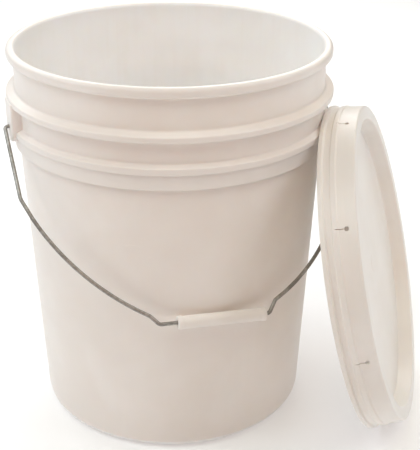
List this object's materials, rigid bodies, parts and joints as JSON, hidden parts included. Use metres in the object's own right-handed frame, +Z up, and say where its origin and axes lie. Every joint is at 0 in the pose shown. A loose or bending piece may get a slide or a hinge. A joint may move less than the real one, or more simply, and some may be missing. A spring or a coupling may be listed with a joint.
{
  "type": "fermenting bucket",
  "caption": "Tapered round plastic fermenting bucket with flanged collar, swinging wire bail with plastic grip, and a loose press-on lid leaning against its side.",
  "frame": {"origin": "centre of the bucket's flat base, on the floor", "axes": "+Z up along the bucket's axis; X along the bail's hinge axis through the two ears; the bail hangs towards -Y and the lid leans on the +X, -Y side"},
  "size_m": [0.4339, 0.4, 0.371],
  "materials": {
    "bucket_plastic": "satin moulded natural-white polyethylene, slightly translucent",
    "bail_steel": "drawn galvanised steel wire",
    "grip_plastic": "satin moulded plastic",
    "lid_plastic": "satin moulded natural-white polyethylene, slightly translucent",
    "gasket_rubber": "soft pale seal ring"
  },
  "bodies": {
    "bucket": {"bucket": "bucket_plastic"},
    "bail": {"bail_wire": "bail_steel"},
    "grip": {"bail_grip": "grip_plastic"},
    "lid": {"lid": "lid_plastic", "lid_gasket": "gasket_rubber"}
  },
  "joints": [
    {"name": "bail_swing", "type": "hinge", "parent": "bucket", "child": "bail", "pos_m": [0, 0, 0.3025], "axis": [-1, 0, 0], "range_deg": [0, 18]},
    {"name": "grip_turn", "type": "hinge", "parent": "bail", "child": "grip", "pos_m": [0.001, -0.14609, 0.14962], "axis": [0.9979, -0.0445, -0.0465], "continuous": true},
    {"name": "lid_lift_away", "type": "slide", "parent": "bucket", "child": "lid", "axis": [0.5989, -0.376, 0.7071], "range_m": [0, 0.4]}
  ]
}
